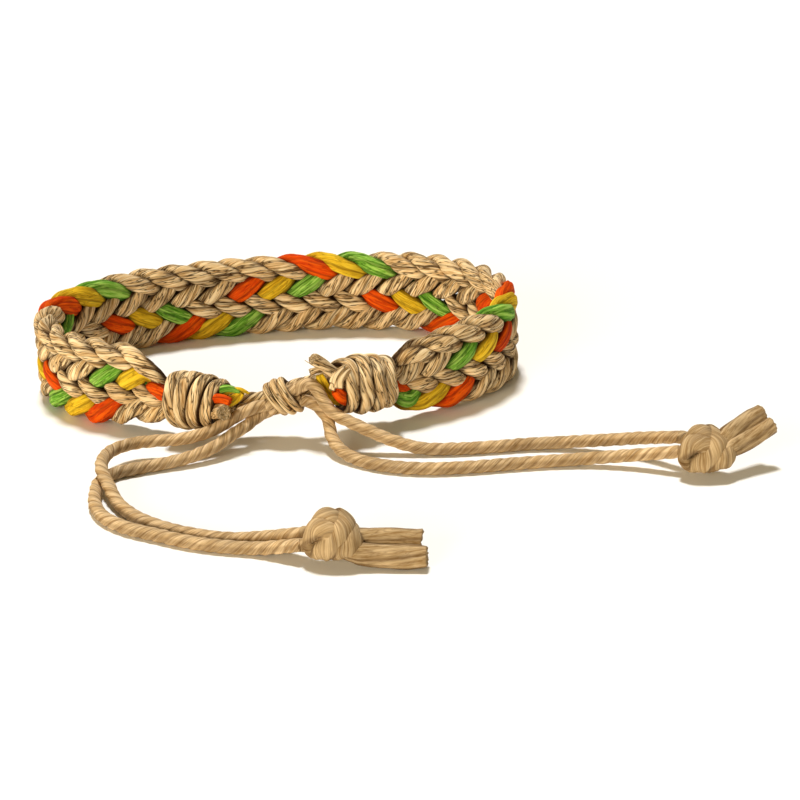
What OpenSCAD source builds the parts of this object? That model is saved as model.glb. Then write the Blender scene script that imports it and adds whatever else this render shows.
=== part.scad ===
// Braided cord bracelet: nine waxed cords plaited flat, each end gathered and whipped,
// closed by a sliding knot from which two pairs of cord tails run out to end knots.
// It stands on its lower edge with the tails laid on the surface. Millimetres, Z up,
// the origin under the middle of the band and its closure.

/* [Braided band] */
// Distance along the band from one strand crossing to the next
pitch = 4.2; // [4.1:0.05:4.3]
// Thickness of the plait between the grooves
band_thick = 2.8; // [2.4:0.1:3.2]
// How far each crossing strand stands proud of the plait
rib_height = 0.25; // [0.1:0.05:0.4]
// Depth of the grooves between the four rows of crossings
groove_depth = 0.25; // [0.1:0.05:0.4]
// How far the edges dip between two strands that turn back
edge_scallop = 0.5; // [0.2:0.1:0.7]

/* [Whipped ends] */
// Radius of the nine gathered cords inside a whipping
neck_r = 2.4; // [2.35:0.05:2.45]
// Length of the left whipping
left_whip_len = 6.7; // [6.4:0.1:6.9]
// Length of the right whipping
right_whip_len = 7.5; // [7.2:0.1:7.7]
// Length of the band with both its gathered ends
band_len = 148; // [147.5:0.1:148.5]
// Diameter of the strands cut off short behind the whippings
cut_end_d = 1.4; // [1.2:0.1:1.4]

/* [Closure cords and knots] */
// Diameter of the waxed cord
cord_d = 1.5; // [1.3:0.1:1.5]
// Length of the sliding knot between its two faces
knot_len = 4.2; // [4:0.1:4.4]
// Radius of the sliding knot's faces
knot_face_r = 2; // [1.9:0.05:2.1]
// Radius of the end knots without their turns
end_knot_r = 3; // [2.8:0.1:3.1]

/* [Hidden] */

TAN = [0.79, 0.66, 0.5];
ORANGE = [0.93, 0.35, 0.05];
YELLOW = [0.89, 0.74, 0.18];
GREEN = [0.39, 0.66, 0.24];

// Plan of the band's middle line: it starts just before the inner end of the left whipping,
// runs to the left, round the back and returns to the right whipping
start = [-6, -20.3];
start_heading = 151.9;
// Columns: distance along the band, bend there in degrees per mm, clockwise from above
BENDS = [[0, 0], [9, 0], [14, 0.1], [20, 2.7], [28, 3.9], [40, 4], [50, 2.6], [62, 0.9],
         [84, 0.9], [98, 3.5], [112, 2.9], [120, 4.4], [130, 1.9], [139, 0], [150, 0]];
// Columns: distance along the band, height of its lower edge, height of its upper edge
EDGES = [[7, 1.9, 8.6], [9.5, 1.6, 10.1], [11.5, 1.3, 11.1], [14, 0.8, 11.3], [18, 0, 11.3],
         [40, 0, 11.1], [84, 0, 11.2], [104, 0, 11.7], [118, 0, 11.7], [126, 0.1, 11.5],
         [132, 0.6, 11], [136, 1.2, 10.4], [140, 1.8, 9.2]];
// Distances along the band of the left gathered end's face and of its whipping's outer end
left_end = 0.5;
left_whip_end = left_end + left_whip_len;
// Columns: distance along the band, height of the middle of the gathered ends
NECKS = [[0, 5.3], [left_whip_end, 5], [20, 5.6], [120, 5.7],
         [band_len - right_whip_len, 5.8], [band_len, 6.7]];
// Outer radius of each turn of the whippings, counted along the band
LEFT_TURNS = [3.15, 3.5, 3.65, 3.6];
RIGHT_TURNS = [3.4, 3.65, 3.85, 3.65, 3.1];
whip_bore_r = neck_r + 0.1;
whip_gap = 0.2;

// Plait: four rows of crossings on each face, each row passed in 1.125 pitches, and
// the rows of crossings follow each other by these parts of a pitch on the outer face
row_count = 4;
row_reach = 1.125 * pitch;
ROW_PHASES = [0, 0.25, 0.75, 0.5];
rings_per_pitch = 4;
face_steps = 12;
first_turn = 5.2;
edge_flat = 0.35;
gather_len = 3;
zigzag_len = 8;

plan_step = 0.5;
function bend_at(s) = lookup(s, BENDS);
function bend_between(a, b, s) = s <= a ? 0 : (min(s, b) - a) * (bend_at(a) + bend_at(min(s, b))) / 2;
function total(v) = v * [for (i = v) 1];
function heading(s) = start_heading
    - total([for (i = [0:len(BENDS) - 2]) bend_between(BENDS[i][0], BENDS[i + 1][0], s)]);
function along(s) = [cos(heading(s)), sin(heading(s))];
TRACE = [for (i = 0, p = start; i * plan_step <= band_len + plan_step;
              p = p + plan_step * along((i + 0.5) * plan_step), i = i + 1) p];
function middle(s) = let (i = floor(s / plan_step), f = s / plan_step - i)
    TRACE[i] * (1 - f) + TRACE[i + 1] * f;
// Outward is to the left of the way along the band
function outward(s) = [-sin(heading(s)), cos(heading(s))];
function neck_point(s) = [middle(s).x, middle(s).y, lookup(s, NECKS)];
function smooth(t) = let (c = max(0, min(1, t))) c * c * (3 - 2 * c);
left_neck = left_whip_end + whip_gap;
right_neck = band_len - right_whip_len - whip_gap;
function from_ends(s) = min(s - left_neck, right_neck - s);
function lower_edge(s) = lookup(s, [for (e = EDGES) [e[0], e[1]]]);
function upper_edge(s) = lookup(s, [for (e = EDGES) [e[0], e[2]]]);

// One point of the plait's section: face 1 is outside and -1 inside, t goes from the upper
// edge to the lower one, and turns counts the crossings passed since the first
function plait_point(s, turns, face, t) = let (
    zig = 1 - abs(1 - (row_count * t) % 2),
    d = s - face * row_reach * zig * smooth(from_ends(s) / zigzag_len),
    height = upper_edge(d) - lower_edge(d),
    row = min(floor(row_count * t + 0.01), row_count - 1),
    in_row = row_count * t - row > 0.1 && row_count * t - row < 0.9,
    phase = face > 0 ? ROW_PHASES[row] : 1 - ROW_PHASES[row],
    on_edge = t < 0.01 || t > 0.99,
    half = band_thick / 2,
    to_edge = min(t, 1 - t) * height,
    round = to_edge < half ? sqrt(half * half - pow(half - to_edge, 2)) : half,
    relief = in_row ? rib_height * cos(360 * (turns - phase)) : -groove_depth,
    depth = on_edge ? edge_flat : round + relief,
    dip = edge_scallop * cos(360 * turns),
    lift = t > 0.99 ? max(0, dip) : t < 0.01 ? min(0, dip) : 0)
    concat(middle(d) + outward(d) * face * depth, upper_edge(d) - height * t + lift);
function neck_ring_point(s, face, step) = let (a = 90 - 180 * (step + 0.5) / (face_steps + 1))
    concat(middle(s) + outward(s) * face * neck_r * cos(a), lookup(s, NECKS) + neck_r * sin(a));
function section_point(s, turns, face, step) = let (
    spread = smooth(from_ends(s) / gather_len),
    round_point = neck_ring_point(s, face, step))
    spread == 0 ? round_point
    : round_point * (1 - spread) + plait_point(s, turns, face, step / face_steps) * spread;
function band_ring(s, turns) = concat(
    [for (k = [0:face_steps]) section_point(s, turns, 1, k)],
    [for (k = [0:face_steps]) section_point(s, turns, -1, face_steps - k)]);

ring_step = pitch / rings_per_pitch;
first_ring = ceil((left_neck + 0.4 - first_turn) / ring_step);
last_ring = floor((right_neck - 0.4 - first_turn) / ring_step);
BAND_RINGS = concat([band_ring(left_end, 0), band_ring(left_neck, 0)],
    [for (k = [first_ring:last_ring]) band_ring(first_turn + k * ring_step, k / rings_per_pitch)],
    [band_ring(right_neck, 0), band_ring(band_len, 0)]);

// Closes a list of rings of equal size into one solid, walls and both ends
module skin(rings) {
    n = len(rings[0]);
    last = (len(rings) - 1) * n;
    walls = [for (r = [0:len(rings) - 2], k = [0:n - 1])
        let (a = r * n + k, b = r * n + (k + 1) % n) each [[a, b, a + n], [b, b + n, a + n]]];
    ends = [[for (k = [n - 1:-1:0]) k], [for (k = [0:n - 1]) last + k]];
    polyhedron(points = [for (r = rings, p = r) p], faces = concat(walls, ends));
}

module braided_band() {
    color(TAN) skin(BAND_RINGS);
}

// Puts its children at a, with their Z axis pointing to b
module aim(a, b) {
    d = b - a;
    translate(a) rotate([0, acos(d.z / norm(d)), atan2(d.y, d.x)]) children();
}

// Whipping between two distances along the band: round turns laid side by side on a sleeve
// that closes the grooves between them
module whipping(from, to, turns) {
    a = neck_point(from);
    b = neck_point(to);
    n = len(turns);
    turn = norm(b - a) / n;
    turn_r = 0.52 * turn;
    sleeve = [for (i = [0:n - 1]) [turns[i] - 0.6 * turn_r, (i + 0.5) * turn]];
    color(TAN) aim(a, b) rotate_extrude($fn = 72) difference() {
        union() {
            for (i = [0:n - 1]) {
                translate([turns[i] - turn_r, (i + 0.5) * turn]) circle(turn_r, $fn = 32);
            }
            polygon(concat([[whip_bore_r, n * turn], [whip_bore_r, 0], [sleeve[0].x, 0]],
                sleeve, [[sleeve[n - 1].x, n * turn]]));
        }
        translate([0, -turn]) square([whip_bore_r, (n + 2) * turn]);
    }
}

module left_whipping() {
    whipping(left_end, left_whip_end, LEFT_TURNS);
}

module right_whipping() {
    whipping(band_len - right_whip_len, band_len, RIGHT_TURNS);
}

// Places on a gathered end's flat face, out is the way the cut strands point
left_face = neck_point(left_end);
right_face = neck_point(band_len);
left_out = -concat(along(left_end), 0);
right_out = concat(along(band_len), 0);
left_across = concat(outward(left_end), 0);
right_across = concat(outward(band_len), 0);
UP = [0, 0, 1];

// Cut strand: a short rod that starts just off the gathered end and leans as it goes.
// Place and lean are across and up, in mm, the lean over the rod's whole length
cut_gap = 0.1;
module cut_strand(face, out, across, place, lean, length) {
    way = length * out + lean[0] * across + lean[1] * UP;
    clear = cut_gap + cut_end_d / 2 * norm(lean) / norm(way);
    a = face + clear * out + place[0] * across + place[1] * UP;
    aim(a, a + way) cylinder(d = cut_end_d, h = norm(way), $fn = 24);
}

module left_green_end() {
    color(GREEN) cut_strand(left_face, left_out, left_across, [-0.05, 1.75], [0.1, 0.2], 2.9);
}

module left_orange_end() {
    color(ORANGE) cut_strand(left_face, left_out, left_across, [1.6, 1.15], [0.3, 0.1], 1.5);
}

module left_tan_end() {
    color(TAN) cut_strand(left_face, left_out, left_across, [1.6, -0.35], [0.4, 0.1], 1.5);
}

module left_yellow_end() {
    color(YELLOW) cut_strand(left_face, left_out, left_across, [0.2, 0.1], [0, 0.25], 2.4);
}

module right_tan_end() {
    color(TAN) cut_strand(right_face, right_out, right_across, [1.3, 1.2], [0.4, 0.1], 1.4);
}

module right_orange_end() {
    color(ORANGE) cut_strand(right_face, right_out, right_across, [1.55, -0.45], [0.2, 0], 1.2);
}

module right_yellow_end() {
    color(YELLOW) cut_strand(right_face, right_out, right_across, [0.1, -0.1], [0, 0.3], 1.2);
}

module right_tan_stub() {
    color(TAN) cut_strand(right_face, right_out, right_across, [-0.2, 1.7], [0, 2.9], 3);
}

// Sliding knot: its axis rises to the right, and the cords leave its two flat faces
knot_left = [-0.6, -19.2, 5];
knot_rise = 16;
knot_out = [cos(knot_rise), 0, sin(knot_rise)];
knot_up = [-sin(knot_rise), 0, cos(knot_rise)];
knot_right = knot_left + knot_len * knot_out;
knot_front = [0, -1, 0];
// Middle of a cord on a face, from its place on it: towards the tails, and up across the axis
function on_knot(face, place) = face + place[0] * knot_front + place[1] * knot_up;
coil_slant = -15;
coil_ring_r = 1.5;
coil_r = 1;

module ring_turn(ring_r, r, around, across) {
    rotate_extrude($fn = around) translate([ring_r, 0]) circle(r, $fn = across);
}

module sliding_knot() {
    color(TAN) aim(knot_left, knot_right) {
        cylinder(r = knot_face_r, h = knot_len, $fn = 48);
        for (h = [0.32, 0.68]) {
            translate([0, 0, h * knot_len]) rotate([0, coil_slant, 0])
                ring_turn(coil_ring_r, coil_r, 48, 24);
        }
    }
}

// Tube of a cord through its points, with eight sides; first and last are the ways that its
// two end faces look along the cord
function unit(v) = v / norm(v);
function cord_ring(p, way) = let (side = unit(cross(way, UP)), top = cross(side, way))
    [for (k = [0:7]) p + cord_d / 2 * (cos(45 * k + 22.5) * side + sin(45 * k + 22.5) * top)];
module cord(points, first, last) {
    n = len(points) - 1;
    skin([for (i = [0:n]) cord_ring(points[i],
        i == 0 ? first : i == n ? last : unit(points[i + 1] - points[i - 1]))]);
}
function last_way(points) = let (n = len(points) - 1) unit(points[n] - points[n - 1]);

// Bridge: a cord held between a whipped end and the sliding knot, on one smooth curve
bridge_rings = 3;
bridge_pull = 2;
function bezier(a, b, c, d, t) = a * pow(1 - t, 3) + 3 * b * t * pow(1 - t, 2)
    + 3 * c * t * t * (1 - t) + d * pow(t, 3);
module bridge(face, out, across, place, knot_point, knot_way) {
    a = face + place[0] * across + place[1] * UP;
    points = [for (i = [0:bridge_rings]) bezier(a, a + bridge_pull * out,
        knot_point - bridge_pull * knot_way, knot_point, i / bridge_rings)];
    color(TAN) cord(points, out, knot_way);
}

module left_upper_bridge() {
    bridge(left_face, left_out, left_across, [-1.2, 0.7], on_knot(knot_left, [-0.25, 0.6]), knot_out);
}

module left_lower_bridge() {
    bridge(left_face, left_out, left_across, [-1.45, -1.05],
        on_knot(knot_left, [-1.55, -0.8]), knot_out);
}

module right_upper_bridge() {
    bridge(right_face, right_out, right_across, [-1.3, 0.55],
        on_knot(knot_right, [-0.8, 0.7]), -knot_out);
}

module right_lower_bridge() {
    bridge(right_face, right_out, right_across, [-1.3, -1.05],
        on_knot(knot_right, [-0.8, -0.9]), -knot_out);
}

// Routes of the four tails after the knot's face, laid on the surface
LEFT_BACK_ROUTE = [[-1.6, -20.5, 4.9], [-2.9, -20.9, 4.6], [-4.1, -21.2, 4.1], [-5.2, -21.7, 3.6],
    [-6.5, -22.5, 3.1], [-8.2, -23.6, 2.8], [-10.8, -24.4, 2.5], [-13.8, -24.2, 2.3],
    [-16.5, -24.5, 2.2], [-18.7, -26.4, 2.3], [-19.7, -29.6, 2.5], [-19.6, -33.1, 2.4],
    [-18.5, -36.1, 1.6], [-17.2, -39.4, 0.9], [-15, -43, 0.75], [-11.4, -46.6, 0.75],
    [-7.2, -49.1, 0.75], [-3.4, -50.6, 0.85], [0.6, -51.9, 1.5], [4.8, -54.1, 2.8]];
LEFT_FRONT_ROUTE = [[-1.1, -19.5, 3.6], [-2.3, -20.3, 3.1], [-3.2, -21.6, 2.8], [-4.5, -23, 2.5],
    [-6.8, -25.2, 1.7], [-9.8, -26.9, 1.1], [-13, -28, 0.8], [-16, -29.1, 0.75],
    [-18.6, -30.5, 0.75], [-19.9, -32.6, 0.75], [-20.1, -36.2, 0.75], [-19.7, -39.8, 0.75],
    [-18.3, -43.3, 0.75], [-15.6, -46.3, 0.75], [-11.8, -48.7, 0.75], [-8, -50.9, 0.75],
    [-4.4, -52.3, 0.75], [-0.6, -53.3, 0.85], [4.6, -55.6, 2.1]];
RIGHT_BACK_ROUTE = [[4, -20.3, 7.4], [4.8, -20.7, 7.7], [5.7, -21.2, 7.2], [6.3, -21.8, 6.2],
    [7, -22.4, 5.2], [8.2, -23, 4.3], [9.8, -23.8, 3.7], [11.8, -24.5, 2.9], [14.6, -25.2, 1.8],
    [18.2, -25.9, 0.9], [22.4, -26.1, 0.75], [27, -25.8, 0.75], [31.6, -25.4, 0.8],
    [36, -25.7, 1], [40.2, -26.7, 1.5], [44.6, -28.9, 2.5], [48.8, -32.2, 3.8]];
RIGHT_FRONT_ROUTE = [[4.5, -20, 5.2], [5.8, -20.7, 4.6], [6.9, -22, 3.5], [7.3, -24.1, 2.2],
    [8.4, -26.4, 1.3], [10.4, -28.5, 0.8], [14, -30.8, 0.75], [18.6, -32, 0.75], [23.6, -32, 0.75],
    [28.8, -31.4, 0.75], [34, -31, 0.8], [39, -31.2, 1.1], [43.6, -32.2, 1.7], [48.4, -34, 2.7]];

module tail(start_point, way, route) {
    points = concat([start_point], route);
    color(TAN) cord(points, way, last_way(points));
}

module left_back_tail() {
    tail(on_knot(knot_left, [1.2, 0]), -knot_out, LEFT_BACK_ROUTE);
}

module left_front_tail() {
    tail(on_knot(knot_left, [0, -1.2]), -knot_out, LEFT_FRONT_ROUTE);
}

module right_back_tail() {
    tail(on_knot(knot_right, [0.8, 0.7]), knot_out, RIGHT_BACK_ROUTE);
}

module right_front_tail() {
    tail(on_knot(knot_right, [0.8, -0.9]), knot_out, RIGHT_FRONT_ROUTE);
}

// End knot: a round body under two slanted turns, short stubs that meet the tails face to
// face, and two cut tips, all with few sides. Each tip is a row of its base, end and diameter
knot_sides = 12;
cord_sides = 8;
turn_ring_r = 2.3;
turn_r = 1.1;
TURN_TILTS = [[70, 25], [105, -40]];
stub_len = 2.2;
module end_knot(middle_point, swing, routes, tips) {
    color(TAN) {
        translate(middle_point) {
            sphere(end_knot_r, $fn = knot_sides);
            for (tilt = TURN_TILTS) {
                rotate([0, tilt[0], swing + tilt[1]])
                    ring_turn(turn_ring_r, turn_r, knot_sides, cord_sides);
            }
        }
        for (route = routes) {
            end = route[len(route) - 1];
            aim(end, end + last_way(route)) cylinder(d = cord_d, h = stub_len, $fn = cord_sides);
        }
        for (tip = tips) {
            aim(tip[0], tip[1]) cylinder(d = tip[2], h = norm(tip[1] - tip[0]), $fn = cord_sides);
        }
    }
}

LEFT_TIPS = [[[9.5, -56.2, 3.4], [17.7, -56.3, 2.3], 2.3],
    [[9.5, -57.4, 2.2], [18, -58.2, 1.4], 2.4]];
RIGHT_TIPS = [[[53, -35, 4.4], [58.4, -30.8, 6.1], 2], [[53.2, -35.8, 3.4], [59.5, -32, 4.7], 1.8]];

module left_end_knot() {
    end_knot([8.1, -56.4, 3.4], -8, [LEFT_BACK_ROUTE, LEFT_FRONT_ROUTE], LEFT_TIPS);
}

module right_end_knot() {
    end_knot([51.5, -35.3, 3.4], -10, [RIGHT_BACK_ROUTE, RIGHT_FRONT_ROUTE], RIGHT_TIPS);
}

braided_band();
left_whipping();
right_whipping();
left_green_end();
left_orange_end();
left_tan_end();
left_yellow_end();
right_tan_end();
right_orange_end();
right_yellow_end();
right_tan_stub();
left_upper_bridge();
left_lower_bridge();
right_upper_bridge();
right_lower_bridge();
sliding_knot();
left_back_tail();
left_front_tail();
right_back_tail();
right_front_tail();
left_end_knot();
right_end_knot();
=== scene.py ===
# Braided cord bracelet with a sliding knot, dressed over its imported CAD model. Lengths are in
# millimetres until a mesh, a camera or a light is made, and metres from there on.
import bpy
import numpy as np
from mathutils import Matrix, Vector


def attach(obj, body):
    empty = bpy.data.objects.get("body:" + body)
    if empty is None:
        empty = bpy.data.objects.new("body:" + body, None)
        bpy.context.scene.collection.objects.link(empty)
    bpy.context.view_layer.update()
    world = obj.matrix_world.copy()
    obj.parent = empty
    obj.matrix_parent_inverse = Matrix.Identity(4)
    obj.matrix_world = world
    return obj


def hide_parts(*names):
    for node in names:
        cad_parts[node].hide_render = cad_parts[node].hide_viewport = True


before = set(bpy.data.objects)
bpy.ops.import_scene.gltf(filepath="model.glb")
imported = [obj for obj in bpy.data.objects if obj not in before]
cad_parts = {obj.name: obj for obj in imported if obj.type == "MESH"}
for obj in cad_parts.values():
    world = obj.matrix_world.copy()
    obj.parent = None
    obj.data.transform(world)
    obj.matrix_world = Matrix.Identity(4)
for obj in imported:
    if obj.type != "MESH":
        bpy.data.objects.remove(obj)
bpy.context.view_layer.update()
MM = 0.001

# Camera: a long lens looks down on the closure from a little to its right, turned slightly
# about its own axis, as the photograph was taken.
camera_place = np.array([15.8, -277.27, 103.23])
camera_elevation = np.radians(20.904)
camera_roll = np.radians(-1.855)
camera_lens = 100.86
camera_sensor = 36
camera_near = 0.01
camera_far = 20

level_right = np.array([1.0, 0.0, 0.0])
view_way = np.array([0.0, np.cos(camera_elevation), -np.sin(camera_elevation)])
level_up = np.array([0.0, np.sin(camera_elevation), np.cos(camera_elevation)])
view_right = level_right * np.cos(camera_roll) + level_up * np.sin(camera_roll)
view_up = -level_right * np.sin(camera_roll) + level_up * np.cos(camera_roll)
camera_turn = Matrix(np.array([view_right, view_up, -view_way]).T.tolist()).to_4x4()
camera_data = bpy.data.cameras.new("photo_camera")
camera_data.lens = camera_lens
camera_data.sensor_width = camera_sensor
camera_data.clip_start = camera_near
camera_data.clip_end = camera_far
photo_camera = bpy.data.objects.new("photo_camera", camera_data)
photo_camera.matrix_world = Matrix.Translation(Vector(camera_place * MM)) @ camera_turn
bpy.context.scene.collection.objects.link(photo_camera)
bpy.context.scene.camera = photo_camera
bpy.context.scene.view_settings.view_transform = "Standard"

# Tails: four free ends of waxed three-ply natural cord, twisted to the left. They run through
# the sliding knot, drop to the surface, lie on it and are tied together in pairs.
up = np.array([0, 0, 1.0])
cord_r = 0.79
ply_lay = 5
ply_groove = 0.11
ply_crease = 0.03
cord_step = 0.16

# Routes of the tails' middle lines, from the sliding knot's faces to the end knots, the
# same points as in the part's source
left_back_route = [
    [-0.6, -20.4, 5.0], [-1.6, -20.5, 4.9], [-2.9, -20.9, 4.6], [-4.1, -21.2, 4.1],
    [-5.2, -21.7, 3.6], [-6.5, -22.5, 3.1], [-8.2, -23.6, 2.8], [-10.8, -24.4, 2.5],
    [-13.8, -24.2, 2.3], [-16.5, -24.5, 2.2], [-18.7, -26.4, 2.3], [-19.7, -29.6, 2.5],
    [-19.6, -33.1, 2.4], [-18.5, -36.1, 1.6], [-17.2, -39.4, 0.9], [-15, -43, 0.75],
    [-11.4, -46.6, 0.75], [-7.2, -49.1, 0.75], [-3.4, -50.6, 0.85], [0.6, -51.9, 1.5],
    [4.8, -54.1, 2.8]]
left_front_route = [
    [-0.27, -19.2, 3.85], [-1.1, -19.5, 3.6], [-2.3, -20.3, 3.1], [-3.2, -21.6, 2.8],
    [-4.5, -23, 2.5], [-6.8, -25.2, 1.7], [-9.8, -26.9, 1.1], [-13, -28, 0.8],
    [-16, -29.1, 0.75], [-18.6, -30.5, 0.75], [-19.9, -32.6, 0.75], [-20.1, -36.2, 0.75],
    [-19.7, -39.8, 0.75], [-18.3, -43.3, 0.75], [-15.6, -46.3, 0.75], [-11.8, -48.7, 0.75],
    [-8, -50.9, 0.75], [-4.4, -52.3, 0.75], [-0.6, -53.3, 0.85], [4.6, -55.6, 2.1]]
right_back_route = [
    [3.24, -20, 6.83], [4, -20.3, 7.4], [4.8, -20.7, 7.7], [5.7, -21.2, 7.2], [6.3, -21.8, 6.2],
    [7, -22.4, 5.2], [8.2, -23, 4.3], [9.8, -23.8, 3.7], [11.8, -24.5, 2.9], [14.6, -25.2, 1.8],
    [18.2, -25.9, 0.9], [22.4, -26.1, 0.75], [27, -25.8, 0.75], [31.6, -25.4, 0.8],
    [36, -25.7, 1], [40.2, -26.7, 1.5], [44.6, -28.9, 2.5], [48.8, -32.2, 3.8]]
right_front_route = [
    [3.69, -20, 5.29], [4.5, -20, 5.2], [5.8, -20.7, 4.6], [6.9, -22, 3.5], [7.3, -24.1, 2.2],
    [8.4, -26.4, 1.3], [10.4, -28.5, 0.8], [14, -30.8, 0.75], [18.6, -32, 0.75], [23.6, -32, 0.75],
    [28.8, -31.4, 0.75], [34, -31, 0.8], [39, -31.2, 1.1], [43.6, -32.2, 1.7], [48.4, -34, 2.7]]


def unit(vectors):
    """Each vector divided by its length."""
    return vectors / np.linalg.norm(vectors, axis=-1, keepdims=True)


def smooth_curve(points, step):
    """Curve through all the points. Between two of them it is a cubic whose slope at each point
    is the mean of the slopes of the two chords there, each weighted by the other's length."""
    points = np.asarray(points, dtype=float)
    span = np.linalg.norm(np.diff(points, axis=0), axis=1)
    knots = np.concatenate([[0], np.cumsum(span)])
    slope = np.diff(points, axis=0) / span[:, None]
    before = span[:-1, None]
    after = span[1:, None]
    inner = (slope[:-1] * after + slope[1:] * before) / (before + after)
    tangent = np.vstack([slope[:1], inner, slope[-1:]])
    at = np.linspace(0, knots[-1], int(knots[-1] / step) + 2)
    i = np.clip(np.searchsorted(knots, at, side="right") - 1, 0, len(span) - 1)
    t = ((at - knots[i]) / span[i])[:, None]
    run = span[i][:, None]
    return (points[i] * (1 + 2 * t) * (1 - t) ** 2 + points[i + 1] * t * t * (3 - 2 * t)
            + tangent[i] * run * t * (1 - t) ** 2 - tangent[i + 1] * run * t * t * (1 - t))


def way_of(path):
    """Unit vector along the path at each of its points."""
    return unit(np.gradient(path, axis=0))


def length_along(path):
    """Distance from the path's start to each of its points."""
    return np.concatenate([[0], np.cumsum(np.linalg.norm(np.diff(path, axis=0), axis=1))])


ripple_drift = (5, 14)
ripple_peak = 1.4


def ripple(angle, along, waves, seed):
    """Unevenness between about -1 and 1: a sum of sines, one for each number of waves round the
    cord, each drifting along it over its own length within ripple_drift, in millimetres."""
    draw = np.random.default_rng(seed)
    total = 0
    for count in waves:
        drift = draw.uniform(*ripple_drift) * draw.choice([-1, 1])
        total = total + np.sin(count * angle + 2 * np.pi * (along / drift + draw.uniform()))
    return total / len(waves) ** 0.5 / ripple_peak


# Rings that close a cut end, from its rim inwards: the part of the cord's radius left, the
# height over the cut, and the place along the ripple that roughens that height
cut_rings = np.array([[0.86, 0.12, 0.0], [0.55, 0.0, 2.0], [0.25, -0.08, 5.0]])
cut_rough = 0.1
cut_seed = 7
cut_waves = (9, 15)
cut_shade = 0.05
cut_mottle = 0.45
cut_mottle_waves = (12, 16)
cut_fibre_spread = 2.3
cut_fibre_run = 9


def cut_end(rim, centre, beyond, twisted, rim_fibre, seed):
    """Points, fibre and shade of a cut end: the rim drawn in to its centre by the first column
    of cut_rings, and moved beyond the cut by the second plus cut_rough times a ripple. Its
    fibres are finer across, and its shade is a mottle round cut_shade."""
    inward = cut_rings[:, 0, None]
    depth = cut_rings[:, 1, None] + cut_rough * ripple(
        twisted, cut_rings[:, 2, None], cut_waves, seed + cut_seed)
    points = centre + (rim - centre) * inward[..., None] + beyond * depth[..., None]
    fibre = np.stack([inward * rim_fibre[:, 0] * cut_fibre_spread,
                      inward * rim_fibre[:, 1] * cut_fibre_spread,
                      rim_fibre[:, 2] + cut_fibre_run * inward + 0 * depth], axis=-1)
    mottle = ripple(twisted, cut_fibre_run * inward, cut_mottle_waves, seed)
    return points, fibre, np.clip(cut_shade + cut_mottle * mottle, 0, 1)


pattern_shift = 40.0
# Painted shade on a cord's two flanks begins where |sin(a)| passes flank_from and is full
# flank_span further on
flank_from = 0.82
flank_span = 0.15


def cord_skin(path, lean, high, wide, plies=3, lay=ply_lay, groove=ply_groove,
              crease=ply_crease, waves=(2, 3, 4, 7), turn=0.0, seam=0.85, flank=0.0, seed=0,
              sides=24, start_cut=False, end_cut=False):
    """Rings of points round a path. At angle a from lean the point is the path + lean * high *
    cos(a) + side * wide * sin(a), drawn in by groove * h and by creases, where h, the hollow
    between plies, is 1 - |cos(plies * b / 2)| and b is a plus the left-hand twist of one turn
    in each lay. Points are spaced evenly in b, so they follow the plies. The shade is painted
    shade: seam * h ** 4 in the hollows between plies, joined with flank where |sin(a)| passes
    flank_from, on the two sides across from lean. The fibre is the place in the untwisted cord,
    moved on by pattern_shift for each seed. A cut end gets the three rings of cut_end."""
    way = way_of(path)
    lean = np.broadcast_to(np.asarray(lean, dtype=float), path.shape)
    out = unit(lean - np.sum(lean * way, axis=1, keepdims=True) * way)
    side = np.cross(way, out)
    along = length_along(path)[:, None]
    twisted = np.linspace(0, 2 * np.pi, sides, endpoint=False)[None, :] + 0 * along
    angle = twisted - 2 * np.pi * along / lay - turn
    hollow = 1 - np.abs(np.cos(plies * twisted / 2))
    scale = 1 - groove * hollow + crease * ripple(twisted, along, waves, seed)
    high = np.broadcast_to(np.asarray(high, dtype=float), along[:, 0].shape)[:, None]
    wide = np.broadcast_to(np.asarray(wide, dtype=float), along[:, 0].shape)[:, None]
    points = (path[:, None] + (out[:, None] * (high * np.cos(angle) * scale)[..., None])
              + (side[:, None] * (wide * np.sin(angle) * scale)[..., None]))
    mean = (high + wide) / 2
    fibre = np.stack([mean * np.cos(twisted), mean * np.sin(twisted),
                      along + 0 * twisted + pattern_shift * seed], axis=-1)
    # Painted shade: dark in the hollows between plies and on the two flanks
    beside = np.clip((np.abs(np.sin(angle)) - flank_from) / flank_span, 0, 1)
    shade = 1 - (1 - seam * hollow ** 4) * (1 - flank * beside)
    grids = [points, fibre, shade]
    if start_cut:
        rings = cut_end(points[0], path[0], -way[0], twisted[0], fibre[0], seed)
        grids = [np.concatenate([ring[::-1], grid]) for ring, grid in zip(rings, grids)]
    if end_cut:
        rings = cut_end(points[-1], path[-1], way[-1], twisted[0], fibre[-1], seed)
        grids = [np.concatenate([grid, ring]) for ring, grid in zip(rings, grids)]
    return grids


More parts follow.
